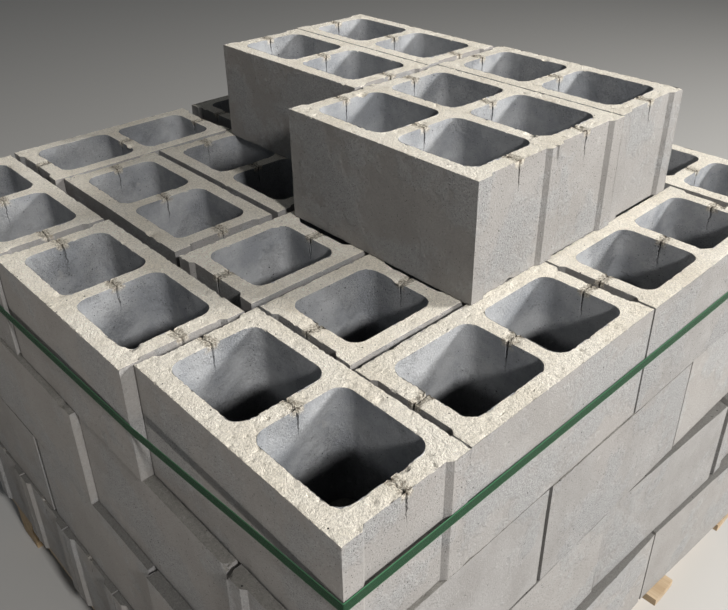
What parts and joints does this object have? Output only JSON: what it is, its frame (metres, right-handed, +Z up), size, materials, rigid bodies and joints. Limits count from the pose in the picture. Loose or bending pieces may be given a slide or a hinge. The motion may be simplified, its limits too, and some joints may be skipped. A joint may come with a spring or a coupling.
{
  "type": "pallet of concrete blocks",
  "caption": "Strapped load of two-cell hollow concrete blocks, bonded in full courses, with loose blocks on top, on a plain wooden pallet.",
  "frame": {"origin": "on the ground, under the middle of the overall box", "axes": "+X towards the side that shows the board ends, along the boards; +Y from the front to the back; +Z up"},
  "size_m": [1.2488, 1.2124, 1.0498],
  "materials": {
    "concrete": "rough pressed concrete, open-pored, pale cream tops and grey sides",
    "strap_plastic": "green embossed polyester strapping",
    "board_timber": "rough-sawn softwood, dusty",
    "bearer_timber": "rough-sawn softwood, dusty"
  },
  "bodies": {
    "root": {"bearers": "bearer_timber", "deck_boards": "board_timber", "bottom_course": "concrete", "second_course": "concrete", "third_course": "concrete", "top_course": "concrete", "double_block": "concrete", "loose_blocks": "concrete", "strap": "strap_plastic"}
  },
  "joints": []
}
